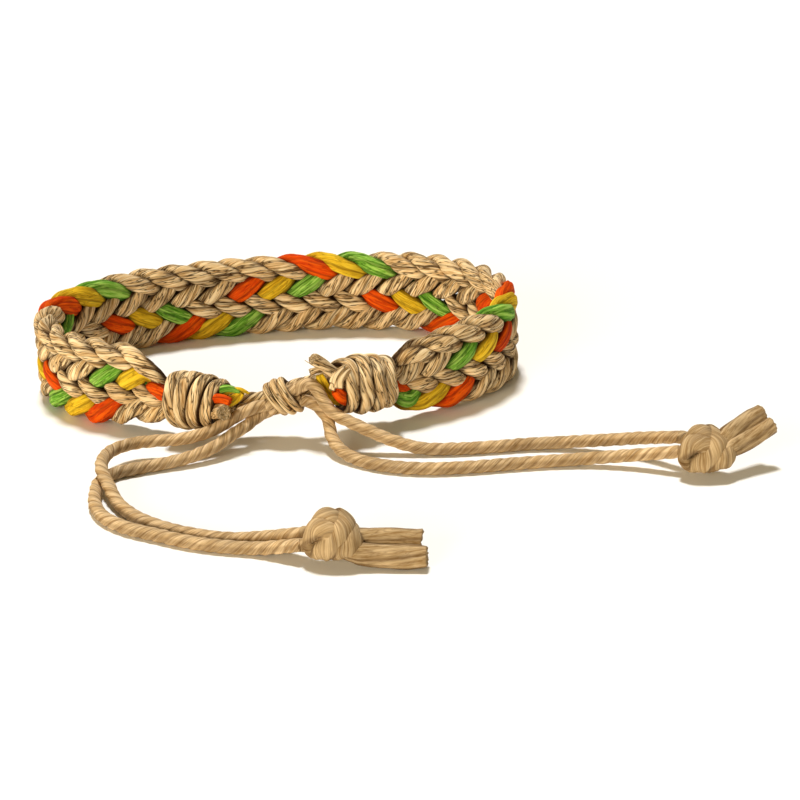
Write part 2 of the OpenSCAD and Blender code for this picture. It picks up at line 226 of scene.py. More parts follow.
def cord_piece(name, skins, material):
    """One object of closed tubes: neighbouring rings are joined by four-sided faces that look
    outwards, and each end is closed by a fan from its middle."""
    points, fibre, shade, quads, fans = [], [], [], [], []
    first = 0
    for rings, ring_fibre, ring_shade in skins:
        count, sides = rings.shape[:2]
        grid = first + np.arange(count * sides).reshape(count, sides)
        beside = np.roll(grid, -1, axis=1)
        quads.append(np.stack([grid[:-1], beside[:-1], beside[1:], grid[1:]], -1).reshape(-1, 4))
        ends = first + count * sides + np.arange(2)
        fans.append(np.stack([np.full(sides, ends[0]), beside[0], grid[0]], -1))
        fans.append(np.stack([np.full(sides, ends[1]), grid[-1], beside[-1]], -1))
        points += [rings.reshape(-1, 3), rings[[0, -1]].mean(axis=1)]
        fibre += [ring_fibre.reshape(-1, 3), ring_fibre[[0, -1]].mean(axis=1)]
        shade += [ring_shade.ravel(), ring_shade[[0, -1]].mean(axis=1)]
        first += count * sides + 2
    mesh = bpy.data.meshes.new(name)
    faces = np.vstack(quads).tolist() + np.vstack(fans).tolist()
    mesh.from_pydata((np.vstack(points) * MM).tolist(), [], faces)
    mesh.attributes.new("fibre", "FLOAT_VECTOR", "POINT").data.foreach_set(
        "vector", np.vstack(fibre).astype(np.float32).ravel())
    mesh.attributes.new("shade", "FLOAT", "POINT").data.foreach_set(
        "value", np.clip(np.concatenate(shade), 0, 1).astype(np.float32))
    mesh.polygons.foreach_set("use_smooth", np.ones(len(faces), dtype=bool))
    mesh.materials.append(material)
    mesh.update()
    piece = bpy.data.objects.new(name, mesh)
    bpy.context.scene.collection.objects.link(piece)
    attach(piece, "root")
    return piece


# Noises of the fibre: how many units it has in a millimetre, twice across and once along the
# fibres, and its detail. The first two are streaks of the fibres and the third is the cracks.
fibre_noises = (((5, 5, 0.5), 4), ((2.0, 2.0, 0.26), 3), ((1.9, 1.9, 0.26), 2))
noise_rough = 0.6
broad_streaks = 0.45
dark_at = 0.37
middle_at = 0.47
light_at = 0.585
noise_mean = 0.5
crack_reach = 0.035
patch_scale = 240
patch_detail = 2
patch_low = 0.3
patch_high = 0.7
patch_darkest = 0.82
patch_lightest = 1.12
fibre_rough = 0.75
fibre_shine = 0.08
# Sockets of the two colours on a colour mix
mix_first = 6
mix_second = 7


def worked_out(material, operation, *values):
    """Socket of a maths node. Each value is a number or the socket that feeds it."""
    node = material.node_tree.nodes.new("ShaderNodeMath")
    node.operation = operation
    for value, socket in zip(values, node.inputs):
        if isinstance(value, (int, float)):
            socket.default_value = value
        else:
            material.node_tree.links.new(value, socket)
    return node.outputs[0]


def fibre_material(name, light, middle, dark, hollow, relief, crack):
    """Waxed natural fibre. Two noises stretched along the cord's own fibre direction, one of a
    fifth and one of half a millimetre, pick dark, middle or light. Cracks of the hollows'
    colour, as strong as crack, run where a third one is within crack_reach of its mean. The
    shade attribute paints shade of the hollows' colour into the hollows between plies and
    strands, a wide noise varies the colour from place to place, and the streaks and cracks
    stand out by relief, in metres."""
    material = bpy.data.materials.new(name)
    material.use_nodes = True
    nodes = material.node_tree.nodes
    link = material.node_tree.links.new
    shader = nodes["Principled BSDF"]
    along_fibre = nodes.new("ShaderNodeAttribute")
    along_fibre.attribute_name = "fibre"
    painted_shade_attribute = nodes.new("ShaderNodeAttribute")
    painted_shade_attribute.attribute_name = "shade"
    streak = []
    for stretch, detail in fibre_noises:
        mapping = nodes.new("ShaderNodeMapping")
        mapping.inputs["Scale"].default_value = stretch
        link(along_fibre.outputs["Vector"], mapping.inputs["Vector"])
        noise = nodes.new("ShaderNodeTexNoise")
        noise.inputs["Scale"].default_value = 1.0
        noise.inputs["Detail"].default_value = detail
        noise.inputs["Roughness"].default_value = noise_rough
        link(mapping.outputs["Vector"], noise.inputs["Vector"])
        streak.append(noise.outputs["Fac"])
    both = nodes.new("ShaderNodeMix")
    both.inputs["Factor"].default_value = broad_streaks
    link(streak[0], both.inputs["A"])
    link(streak[1], both.inputs["B"])
    ramp = nodes.new("ShaderNodeValToRGB")
    ramp.color_ramp.elements[0].position = dark_at
    ramp.color_ramp.elements[0].color = (*dark, 1)
    ramp.color_ramp.elements[1].position = light_at
    ramp.color_ramp.elements[1].color = (*light, 1)
    ramp.color_ramp.elements.new(middle_at).color = (*middle, 1)
    link(both.outputs["Result"], ramp.inputs["Fac"])

    off_mean = worked_out(material, "SUBTRACT", streak[2], noise_mean)
    open_crack = nodes.new("ShaderNodeMapRange")
    open_crack.inputs["From Max"].default_value = crack_reach
    open_crack.inputs["To Min"].default_value = 1 - crack
    link(worked_out(material, "ABSOLUTE", off_mean), open_crack.inputs["Value"])
    uncracked = open_crack.outputs["Result"]

    place = nodes.new("ShaderNodeTexCoord")
    patch = nodes.new("ShaderNodeTexNoise")
    patch.inputs["Scale"].default_value = patch_scale
    patch.inputs["Detail"].default_value = patch_detail
    link(place.outputs["Object"], patch.inputs["Vector"])
    patch_tint = nodes.new("ShaderNodeMapRange")
    patch_tint.inputs["From Min"].default_value = patch_low
    patch_tint.inputs["From Max"].default_value = patch_high
    patch_tint.inputs["To Min"].default_value = patch_darkest
    patch_tint.inputs["To Max"].default_value = patch_lightest
    link(patch.outputs["Fac"], patch_tint.inputs["Value"])
    varied = nodes.new("ShaderNodeMix")
    varied.data_type = "RGBA"
    varied.blend_type = "MULTIPLY"
    varied.inputs[0].default_value = 1
    link(ramp.outputs["Color"], varied.inputs[mix_first])
    link(patch_tint.outputs["Result"], varied.inputs[mix_second])

    # Painted shade from the shade attribute, and the cracks, take the hollows' colour
    lit = worked_out(material, "SUBTRACT", 1, painted_shade_attribute.outputs["Fac"])
    hollow_mix = nodes.new("ShaderNodeMix")
    hollow_mix.data_type = "RGBA"
    hollow_mix.inputs[mix_first].default_value = (*hollow, 1)
    link(worked_out(material, "MULTIPLY", lit, uncracked), hollow_mix.inputs[0])
    link(varied.outputs[2], hollow_mix.inputs[mix_second])
    link(hollow_mix.outputs[2], shader.inputs["Base Color"])

    bump = nodes.new("ShaderNodeBump")
    bump.inputs["Strength"].default_value = 1.0
    bump.inputs["Distance"].default_value = relief
    link(worked_out(material, "MULTIPLY", both.outputs["Result"], uncracked),
         bump.inputs["Height"])
    link(bump.outputs["Normal"], shader.inputs["Normal"])
    shader.inputs["Roughness"].default_value = fibre_rough
    shader.inputs["Specular IOR Level"].default_value = fibre_shine
    return material


# Tan cord of the tails and of the cords in the coil: smoother and less cracked than the band's,
# and coloured darker than it as painted shade
smooth_tan_fibre_painted_darker = fibre_material(
    "smooth_waxed_tan_fibre_painted_darker", light=(0.76, 0.56, 0.33), middle=(0.56, 0.38, 0.19),
    dark=(0.37, 0.22, 0.09), hollow=(0.1, 0.045, 0.013), relief=0.0001, crack=0.4)
# Strength of painted shade in a tail's ply hollows and on its flanks
tail_seam = 0.5
tail_flank = 0.35


def tail_piece(name, node, route, seed):
    """Cord of round section along a route, its twist counted from the sliding knot."""
    path = smooth_curve(route, cord_step)
    skin = cord_skin(path, up, cord_r, cord_r, seam=tail_seam, flank=tail_flank, seed=seed)
    piece = cord_piece(name, [skin], smooth_tan_fibre_painted_darker)
    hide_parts(node)
    return piece, path


left_back_cord, left_back_path = tail_piece(
    "left_back_cord", "left_back_tail", left_back_route, seed=11)
left_front_cord, left_front_path = tail_piece(
    "left_front_cord", "left_front_tail", left_front_route, seed=12)
right_back_cord, right_back_path = tail_piece(
    "right_back_cord", "right_back_tail", right_back_route, seed=13)
right_front_cord, right_front_path = tail_piece(
    "right_front_cord", "right_front_tail", right_front_route, seed=14)

# End knots: each pair of tails is tied together in one overhand knot pulled tight, and its two
# cut tips are flattened and fray a little beyond it.
overhand_depth = 1.0
overhand_from = 62
overhand_to = 298
overhand_points = 13
pair_gap = 0.82
ball_flatness = 4
strap_wide = 1.25
strap_high = 0.78
strap_from = 0.6
strap_growth = 1.6
# seam and flank set the painted shade in the straps' hollows and between them
strap_look = {"groove": 0.035, "seam": 0.35, "crease": 0.05, "flank": 0.55, "sides": 30}
tip_inside = 0.1
tip_bends = (0.3, 0.7)
tip_bow = 0.25
tip_lean = (0, -1, 0.4)
tip_seed = 5
tip_stations = [0, 0.25, 0.8, 1]
tip_high = 0.4
tip_high_growth = 0.45
tip_look = {"lay": 45, "groove": 0.12, "seam": 0.6, "crease": 0.08, "waves": (3, 5, 8),
            "flank": 0.5, "end_cut": True}
# The knots' cord is the same tan cord, coloured darker still as painted shade on the tied knots
knot_fibre_painted_shade = fibre_material(
    "knot_fibre_painted_shade", light=(0.58, 0.42, 0.235), middle=(0.42, 0.285, 0.14),
    dark=(0.27, 0.16, 0.062), hollow=(0.08, 0.035, 0.01), relief=0.0001, crack=0.35)


def knot_lean(path, middle, facing):
    """Way out of the knot's flattened ball at each point of a path: the point's place from the
    ball's middle, with its part towards facing taken ball_flatness times."""
    place = path - middle
    return place + (ball_flatness - 1) * np.sum(place * facing, axis=1, keepdims=True) * facing


def end_knot_paths(middle, size, across, facing, routes, tips):
    """The two cords of an overhand knot. Their common line is the open three-lobed loop
    sin(t) + 2 sin(2t), cos(t) - 2 cos(2t), -sin(3t) from the tails to the tips, its width and
    height scaled by size, and the cords lie beside each other, pair_gap off that line."""
    rise = np.cross(facing, across)
    t = np.pi + np.radians(np.linspace(overhand_from, overhand_to, overhand_points))
    flat_x = -(np.sin(t) + 2 * np.sin(2 * t)) * size[0]
    flat_y = (np.cos(t) - 2 * np.cos(2 * t)) * size[1]
    deep = -np.sin(3 * t) * overhand_depth
    loop = middle + flat_x[:, None] * across + flat_y[:, None] * rise + deep[:, None] * facing
    beside = unit(np.cross(way_of(loop), knot_lean(loop, middle, facing)))
    paths = []
    for route, tip, sense in zip(routes, tips, (1, -1)):
        points = np.vstack([route[-2], route[-1], loop + sense * pair_gap * beside, tip[0]])
        paths.append(smooth_curve(points, cord_step))
    return paths


def tip_skin(base, end, half_widths, bow, seed):
    """Flattened cut tip on a line from its base to its end, bowed up or down on the way. Its
    half width runs through half_widths at tip_stations, and half its height is tip_high plus
    tip_high_growth times that."""
    base = np.array(base, dtype=float)
    run = np.array(end, dtype=float) - base
    bent = [base + part * run + up * bow for part in tip_bends]
    path = smooth_curve([base - tip_inside * run, *bent, end], cord_step)
    half_wide = np.interp(length_along(path) / length_along(path)[-1], tip_stations,
                          half_widths)
    return cord_skin(path, tip_lean, tip_high + tip_high_growth * half_wide, half_wide,
                     seed=seed, **tip_look)


def end_knot_piece(name, node, middle, size, across, facing, routes, tips, turns, seed):
    """Both cords of a knot, each drawn flat where it lies round the ball, and its two tips. A
    tip is its base, its end, and half its width at tip_stations from the one to the other."""
    middle = np.array(middle, dtype=float)
    across = unit(np.array(across, dtype=float))
    facing = np.array(facing, dtype=float)
    facing = unit(facing - np.dot(facing, across) * across)
    skins = []
    paths = end_knot_paths(middle, size, across, facing, routes, tips)
    for path, tip, turn, number in zip(paths, tips, turns, (0, 1)):
        start = np.argmin(np.linalg.norm(path - np.array(routes[number][-1]), axis=1))
        path = path[start:]
        drawn = np.clip((length_along(path) - strap_from) / strap_growth, 0, 1)
        lean = knot_lean(path, middle, facing) * drawn[:, None] + up * (1 - drawn)[:, None]
        skins.append(cord_skin(path, lean, cord_r + (strap_high - cord_r) * drawn,
                               cord_r + (strap_wide - cord_r) * drawn, turn=turn,
                               seed=seed + number, **strap_look))
        skins.append(tip_skin(*tip, (tip_bow, -tip_bow)[number], seed + tip_seed + number))
    piece = cord_piece(name, skins, knot_fibre_painted_shade)
    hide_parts(node)
    return piece


def twist_at_end(path):
    """Turn of the plies reached at the end of a tail, so that the knot's cord takes it up."""
    return 2 * np.pi * length_along(path)[-1] / ply_lay


left_tied_knot = end_knot_piece(
    "left_tied_knot", "left_end_knot", middle=[8.05, -56.5, 2.9], size=(0.67, 0.95),
    across=(1, -0.05, 0), facing=(0, -0.8, 0.6), routes=[left_back_route, left_front_route],
    tips=[[[9.3, -56.2, 3.2], [17.5, -56.3, 2.4], [0.75, 0.95, 1.2, 1.45]],
          [[9.3, -57.2, 2.1], [18.1, -58.2, 1.4], [0.8, 1.35, 1.42, 1.2]]],
    turns=(twist_at_end(left_back_path), twist_at_end(left_front_path)), seed=21)
right_tied_knot = end_knot_piece(
    "right_tied_knot", "right_end_knot", middle=[51.4, -35.5, 2.85], size=(0.68, 0.94),
    across=(1, 0.1, 0), facing=(0, -0.8, 0.6), routes=[right_back_route, right_front_route],
    tips=[[[53, -35, 4.3], [58.4, -31, 6.0], [0.8, 1.15, 1.2, 1.1]],
          [[53.2, -35.8, 3.5], [59.5, -32, 4.9], [0.8, 1.2, 1.15, 1.05]]],
    turns=(twist_at_end(right_back_path), twist_at_end(right_front_path)), seed=31)

# Braided band: nine waxed cords plaited flat, over two and under two, six of them tan and one
# each of orange, yellow and green. It stands on its lower edge, and both ends are drawn
# together into round necks.
pitch = 4.2
first_turn = 5.2
band_len = 148
left_end = 0.5
left_whip_end = 7.2
right_whip_start = 140.5
period = 9
plan_step = 0.05
plan_beyond = 1
start = [-6, -20.3]
start_heading = 151.9
# Rows: distance along the middle line, and for bends the turn there in degrees a millimetre, for
# edges the lower and upper edge of the plait, for necks the height of a gathered end's middle
bends = np.array([[0, 0], [9, 0], [14, 0.1], [20, 2.7], [28, 3.9], [40, 4], [50, 2.6], [62, 0.9],
                  [84, 0.9], [98, 3.5], [112, 2.9], [120, 4.4], [130, 1.9], [139, 0], [150, 0]])
edges = np.array([[7, 1.9, 8.6], [9.5, 1.6, 10.1], [11.5, 1.3, 11.1], [14, 0.8, 11.3],
                  [18, 0, 11.3], [40, 0, 11.1], [84, 0, 11.2], [104, 0, 11.7], [118, 0, 11.7],
                  [126, 0.1, 11.5], [132, 0.6, 11], [136, 1.2, 10.4], [140, 1.8, 9.2]])
necks = np.array([[0, 5.3], [7.2, 5], [20, 5.6], [120, 5.7], [140.5, 5.8], [148, 6.7]])

# Middle line seen from above: the bends add up to its heading, and the heading to its place
plan_s = np.arange(0, band_len + plan_beyond, plan_step)
bend_s = np.interp(plan_s, bends[:, 0], bends[:, 1])
plan_heading = np.radians(start_heading - np.concatenate(
    [[0], np.cumsum((bend_s[1:] + bend_s[:-1]) / 2 * plan_step)]))
plan_x = start[0] + np.concatenate([[0], np.cumsum(
    (np.cos(plan_heading)[1:] + np.cos(plan_heading)[:-1]) / 2 * plan_step)])
plan_y = start[1] + np.concatenate([[0], np.cumsum(
    (np.sin(plan_heading)[1:] + np.sin(plan_heading)[:-1]) / 2 * plan_step)])


def band_frame(s):
    """Middle line of the band seen from above, and the way outwards from the loop there."""
    heading = np.interp(s, plan_s, plan_heading)
    middle = np.stack([np.interp(s, plan_s, plan_x), np.interp(s, plan_s, plan_y), 0 * s], -1)
    return middle, np.stack([-np.sin(heading), np.cos(heading), 0 * s], -1)


# Height of a strand in the plait, as a part of the band's height, against pitches since it
# turned back at the upper edge; and where it changes from one face to the other
turn_heights = np.array([[-0.625, 0.835], [0, 0.918], [0.625, 0.835], [1.75, 0.6], [2.75, 0.39],
                         [3.875, 0.178], [4.5, 0.08], [5.125, 0.178], [6.25, 0.39], [7.25, 0.6],
                         [8.375, 0.835], [9, 0.918], [9.625, 0.835]])
height_stretch = [1, 4]
height_step = 0.02
height_curve = smooth_curve(turn_heights * height_stretch, height_step) / height_stretch
face_changes = [0, 1.19, 2.25, 3.31, 4.5, 5.69, 6.75, 7.81, 9]
strand_from = left_end + 0.1
strand_to = band_len - 0.4
strand_step = 0.3
plait_from = 5.5
plait_to = band_len - 6
strand_off = 0.8
swing_flat = 0.3
gather_len = 2.8
gather_inside = 0.4
gather_spread = 0.2
neck_squeeze = 0.34
drawn_height = 11.2
strand_drift = 0.06
drift_waves = (1, 2, 3)


def eased(part):
    """Smooth rise from 0 to 1 over a part from 0 to 1, three times its square less twice its
    cube, and level beyond."""
    part = np.clip(part, 0, 1)
    return part * part * (3 - 2 * part)


def strand_line(top_turn, seed, hidden):
    """Middle line of one strand. Its height follows the plait, its depth swings between the two
    faces as a flattened sine over each crossing, and towards each end both draw together on
    the neck's middle. It lies inside the plait before hidden[0] and rises by hidden[1]."""
    s = np.arange(strand_from, strand_to, strand_step)
    pitches = (np.clip(s, plait_from, plait_to) - first_turn) / pitch
    q = (pitches - top_turn) % period
    part = np.interp(q, height_curve[:, 0], height_curve[:, 1])
    swing = -np.sin(np.pi * np.interp(q, face_changes, np.arange(len(face_changes))))
    over = swing * (1 + swing_flat - swing_flat * swing ** 2)
    low = np.interp(s, edges[:, 0], edges[:, 1])
    top = np.interp(s, edges[:, 0], edges[:, 2])
    from_ends = np.minimum(s - left_whip_end, right_whip_start - s) + gather_inside
    woven = eased(from_ends / gather_len)
    neck_z = np.interp(s, necks[:, 0], necks[:, 1])
    gathered_z = neck_z + (part - 0.5) * drawn_height * neck_squeeze
    z = gathered_z * (1 - woven) + (low + part * (top - low)) * woven
    seen = eased((s - hidden[0]) / (hidden[1] - hidden[0]))
    drift = strand_drift * ripple(0 * s, s, drift_waves, seed)
    spread = 1 + gather_spread * (1 - woven)
    middle, outward = band_frame(s)
    path = middle + outward * (strand_off * over * spread * seen + drift)[:, None]
    path[:, 2] = neck_z + (z - neck_z) * seen + drift
    return path, middle, outward, np.abs(over), woven


# Half width and half height of a strand: where it lies over or under another, where it passes
# through the plait or turns back, and the part of them left in the gathered ends
over_wide = 1.18
over_high = 0.8
through_wide = 0.86
through_high = 0.9
gathered_wide = 0.72
gathered_high = 0.85
strand_uneven = 0.07
uneven_waves = (1, 2)
uneven_seed = 50
# Strength of painted shade on a strand's flanks
strand_flank = 0.85
# Painted shade of a strand: under sunk_off from the plait's middle it deepens over
# sunk_span, but not near the band's edges, measured in half heights from mid height, which
# stay light
half_height = 5.65
sunk_off = 1.15
sunk_span = 0.9
sunk_edge = 0.9
sunk_edge_span = 0.25
sunk_shade = 0.95
bare_edge = 0.8
bare_edge_span = 0.12
bare_light = 0.75


def strand_skin(top_turn, seed, flat=1.0, hidden=(0.0, 0.1), **look):
    """Skin of one strand: broad where it lies over or under another, rounder where it passes
    through the plait or turns back at an edge, and thinner in the gathered ends. It gets
    painted shade where it sinks towards the middle of the plait, and hardly any along the two
    edges."""
    path, middle, outward, over, woven = strand_line(top_turn, seed, hidden)
    uneven = 1 + strand_uneven * ripple(
        0 * over, length_along(path), uneven_waves, seed + uneven_seed)
    wide = (through_wide + (over_wide - through_wide) * over) * uneven
    wide = wide * (gathered_wide + (1 - gathered_wide) * woven) * flat
    high = through_high + (over_high - through_high) * over
    high = high * (gathered_high + (1 - gathered_high) * woven) / flat ** 0.5
    points, fibre, shade = cord_skin(path, outward, high, wide, seed=seed, start_cut=True,
                                     end_cut=True, flank=strand_flank, **look)
    ring = np.clip(np.arange(len(points)) - len(cut_rings), 0, len(path) - 1)
    off_middle = np.abs(np.sum((points - middle[ring][:, None]) * outward[ring][:, None], axis=2))
    edge = np.abs(points[:, :, 2] / half_height - 1)
    # Painted shade where the strand sinks into the plait, lifted along the band's edges
    sunk = (np.clip((sunk_off - off_middle) / sunk_span, 0, 1)
            * np.clip((sunk_edge - edge) / sunk_edge_span, 0, 1))
    bare = np.clip((edge - bare_edge) / bare_edge_span, 0, 1)
    return points, fibre, (1 - (1 - shade) * (1 - sunk_shade * sunk)) * (1 - bare_light * bare)


tan_fibre = fibre_material(
    "waxed_tan_fibre", light=(0.98, 0.77, 0.465), middle=(0.74, 0.49, 0.23),
    dark=(0.31, 0.16, 0.048), hollow=(0.045, 0.017, 0.004), relief=0.00024, crack=1.0)
orange_fibre = fibre_material(
    "dyed_orange_fibre", light=(0.85, 0.12, 0.003), middle=(0.72, 0.066, 0.001),
    dark=(0.5, 0.035, 0.001), hollow=(0.13, 0.01, 0.001), relief=0.0001, crack=0.4)
yellow_fibre = fibre_material(
    "dyed_yellow_fibre", light=(0.88, 0.6, 0.036), middle=(0.7, 0.43, 0.015),
    dark=(0.43, 0.23, 0.006), hollow=(0.11, 0.05, 0.002), relief=0.0001, crack=0.5)
green_fibre = fibre_material(
    "dyed_green_fibre", light=(0.4, 0.66, 0.12), middle=(0.16, 0.4, 0.035),
    dark=(0.05, 0.18, 0.01), hollow=(0.015, 0.045, 0.004), relief=0.00015, crack=0.7)
# The three dyed strands turn back at the top first, one pitch after another, then the six tan
dyed_look = {"plies": 5, "lay": 70, "groove": 0.08, "seam": 0.55, "crease": 0.07,
             "waves": (3, 4, 6, 7), "sides": 30}
tan_look = {"lay": 10.5, "crease": 0.05, "sides": 30}
tan_turns = range(2, 8)
tan_seed = 30
tan_skins = [strand_skin(top_turn, tan_seed + top_turn, **tan_look) for top_turn in tan_turns]
tan_strands = cord_piece("tan_strands", tan_skins, tan_fibre)
orange_strand = cord_piece("orange_strand", [strand_skin(
    top_turn=-1, seed=41, flat=1.08, **dyed_look)], orange_fibre)
yellow_strand = cord_piece("yellow_strand", [strand_skin(
    top_turn=0, seed=42, flat=1.1, hidden=(8, 11), **dyed_look)], yellow_fibre)
green_strand = cord_piece("green_strand", [strand_skin(
    top_turn=1, seed=43, flat=1.06, hidden=(9.5, 13.5), **dyed_look)], green_fibre)
for strand, slot in ((tan_strands, "tan_cord"), (orange_strand, "orange_cord"),
                     (yellow_strand, "yellow_cord"), (green_strand, "green_cord")):
    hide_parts("braided_band")

# Whippings: the same tan cord, untwisted a little, wound tightly round each gathered end from
# the plait to the cut strands. Both its ends are tucked in at the back.
steps_in_turn = 24
back_from = 110


def rounds(turns):
    """Steps along a winding: the turns done, the angle from -180 to 180 degrees, and the turn's
    place in line, which moves on by one at the back of each, beyond back_from."""
    done = np.linspace(0, turns, turns * steps_in_turn + 1)
    turn = np.minimum(np.floor(done), turns - 1)
    angle = (done - turn) * 360 - 180
    moved = np.clip((np.abs(angle) - back_from) / (180 - back_from), 0, 1) / 2
    return done, angle, turn + 0.5 + np.sign(angle) * moved


tuck_turns = 0.2


def tucked(done, turns, depth):
    """How far a winding sinks into what it holds: depth at both its ends, times the square of
    the part of tuck_turns still to go, and nothing beyond it."""
    ends = np.minimum(done, turns - done)
    return depth * (1 - np.clip(ends / tuck_turns, 0, 1)) ** 2


def read_at(places, known, vectors):
    """Vectors known at some places, read between them at others."""
    return np.stack([np.interp(places, known, vectors[:, axis]) for axis in range(3)], -1)


# Angles at which a turn is on the row's bottom, front and top place, and at which it leaves
# and reaches its place at the back
leaves_back = -125
at_bottom = -55
at_front = 20
at_top = 85
reaches_back = 155
whip_tuck = 0.7
whip_drift = 0.05
drift_seed = 3
turn_run = 25
whip_uneven = 0.06
width_seed = 4
width_run = 15


def winding_skin(sides_of_turns, radii, high, wide, seed, **look):
    """Cord wound round a neck from the back, at angle a up from the side that faces the
    tails. A row of sides_of_turns says where one side of a turn crosses the back, bottom,
    front and top of the neck, and each turn runs midway between two rows, and from one pair
    to the next at the back. Radii are the outer ones of the turns in order."""
    turns = len(sides_of_turns) - 1
    done, angle, row = rounds(turns)
    at = [np.interp(row, np.arange(turns + 1), column) for column in np.transpose(sides_of_turns)]
    s = (np.interp(angle, [leaves_back, at_bottom, at_top, reaches_back], [1, 0, 0, 1]) * at[0]
         + np.interp(angle, [leaves_back, at_bottom, at_front], [0, 1, 0]) * at[1]
         + np.interp(angle, [at_bottom, at_front, at_top], [0, 1, 0]) * at[2]
         + np.interp(angle, [at_front, at_top, reaches_back], [0, 1, 0]) * at[3])
    radius = np.interp(row - 0.5, np.arange(turns), radii) - high - tucked(done, turns, whip_tuck)
    radius = radius + whip_drift * ripple(
        0 * done, done * turn_run, drift_waves, seed + drift_seed)
    middle, outward = band_frame(s)
    neck_z = np.interp(s, necks[:, 0], necks[:, 1])
    turned = np.radians(angle)[:, None]
    lean = outward * np.cos(turned) + up * np.sin(turned)
    path = smooth_curve(middle + up * neck_z[:, None] + lean * radius[:, None], cord_step)
    places = np.linspace(0, turns, len(path))
    uneven = 1 + whip_uneven * ripple(
        0 * places, places * width_run, uneven_waves, seed + width_seed)
    return cord_skin(path, read_at(places, done, lean), high, wide * uneven, seed=seed, **look)


# seam and flank paint shade into the ply hollows and between neighbouring turns
wound_look = {"lay": 16, "groove": 0.09, "seam": 0.75, "crease": 0.07, "waves": (3, 5, 7),
              "flank": 1.0, "sides": 30}
# Columns: back, bottom, front and top, each as the distance along the band's middle line
left_sides = [[7, 6, 6.75, 7.4], [5.3, 5.4, 5.15, 5.4], [3.6, 3.95, 3.3, 3.6],
              [1.9, 2.2, 1.4, 1.3], [0.2, 0.6, -0.2, -0.4]]
right_sides = [[140.7, 140.9, 141.3, 140.5], [142.2, 142.5, 143, 141.8],
               [144.1, 144.5, 144.9, 143.6], [146, 146.4, 146.8, 145.5],
               [147.9, 148.3, 148.4, 147.5]]
left_winding = cord_piece("left_winding", [winding_skin(
    left_sides, radii=[3.6, 3.7, 3.55, 3.15], high=0.72, wide=0.93, seed=51, **wound_look)],
    tan_fibre)
right_winding = cord_piece("right_winding", [winding_skin(
    right_sides, radii=[3.4, 3.75, 3.85, 3.5], high=0.72, wide=0.98, seed=52, **wound_look)],
    tan_fibre)
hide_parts("left_whipping")
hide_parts("right_whipping")

# Cut ends: the plaited strands are trimmed short behind each whipping. The dyed ones stick out
# as flattened frayed tips, round tan ones show their fibrous core, and one tan stub stands up
# at the right with a smaller one and a single loose fibre beside it.
cut_look = {"lay": 24, "groove": 0.12, "crease": 0.09, "waves": (3, 4, 6), "seam": 0.55,
            "flank": 0.05, "end_cut": True}
cut_step = 0.1
first_cut_seed = 60
# Each has its name, node, slot, material and lean, and for each cord of it the route, half its
# height, half its width, and how many times as thick it is at the cut
cut_ends = [
    ("left_green_tip", "left_green_end", "green_cord", green_fibre, (0, -0.5, 1),
     [([[-7.3, -20.0, 6.7], [-6.2, -20.9, 7.4], [-5.0, -21.5, 7.75], [-3.7, -21.7, 7.4]],
       0.5, 0.7, 0.45)]),
    ("left_orange_tip", "left_orange_end", "orange_cord", orange_fibre, (0, -0.5, 1),
     [([[-7.6, -21.0, 6.3], [-6.7, -21.9, 6.7], [-5.7, -22.5, 6.8], [-4.9, -22.8, 6.5]],
       0.62, 0.66, 0.85)]),
    ("left_tan_tip", "left_tan_end", "tan_cord", tan_fibre, (0, -0.2, 1),
     [([[-7.4, -21.0, 4.7], [-6.7, -21.9, 4.9], [-6.1, -22.7, 5.2], [-5.6, -23.5, 5.4]],
       0.9, 0.9, 1.15)]),
    ("left_yellow_tip", "left_yellow_end", "yellow_cord", yellow_fibre, (0, -1, 0.2),
     [([[-6.9, -20.0, 5.3], [-5.5, -20.8, 5.7], [-4.2, -21.3, 6.4], [-3.4, -21.7, 7.2]],
       0.5, 0.85, 0.45),
      ([[-5.6, -20.9, 7.1], [-4.6, -21.4, 7.5], [-3.6, -21.6, 7.6], [-2.6, -21.6, 7.1]],
       0.3, 0.45, 0.3)]),
    ("right_tan_tip", "right_tan_end", "tan_cord", tan_fibre, (0, -1, 0.6),
     [([[9.9, -19.9, 9.0], [9.1, -21.0, 8.9], [8.5, -21.7, 8.4], [8.35, -22.0, 7.6]],
       0.5, 0.6, 1.1),
      ([[9.4, -20.2, 9.5], [8.6, -21.2, 9.3], [8.0, -21.7, 8.8], [7.7, -21.9, 8.2]],
       0.45, 0.5, 0.9),
      ([[9.2, -20.2, 8.6], [8.5, -20.9, 8.3], [7.9, -21.3, 7.8], [7.6, -21.5, 7.2]],
       0.45, 0.5, 0.9)]),
    ("right_orange_tip", "right_orange_end", "orange_cord", orange_fibre, (0, -1, 0.2),
     [([[9.6, -20.4, 5.4], [9.0, -21.2, 5.9], [8.5, -21.7, 6.5], [8.1, -21.9, 7.2]],
       0.6, 0.95, 0.8)]),
    ("right_yellow_tip", "right_yellow_end", "yellow_cord", yellow_fibre, (-0.2, -1, 0.1),
     [([[8.5, -19.6, 5.2], [7.6, -20.1, 5.5], [6.7, -20.4, 6.9], [6.1, -20.3, 8.6]],
       0.32, 0.85, 0.65)]),
    ("right_tan_stub_cord", "right_tan_stub", "tan_cord", tan_fibre, (-0.6, -0.2, -0.7),
     [([[9.4, -18.9, 7.3], [8.1, -19.5, 8.3], [6.9, -20.1, 9.6], [5.4, -20.8, 11.0]],
       0.8, 0.88, 1.0),
      ([[8.4, -19.2, 8.1], [7.2, -19.6, 8.9], [6.1, -19.9, 9.2], [5.0, -20.1, 9.0]],
       0.45, 0.55, 1.0),
      ([[6.6, -20.2, 9.6], [5.8, -20.7, 9.9], [5.2, -20.9, 10.3], [4.5, -20.9, 10.8]],
       0.08, 0.08, 0.6)])]
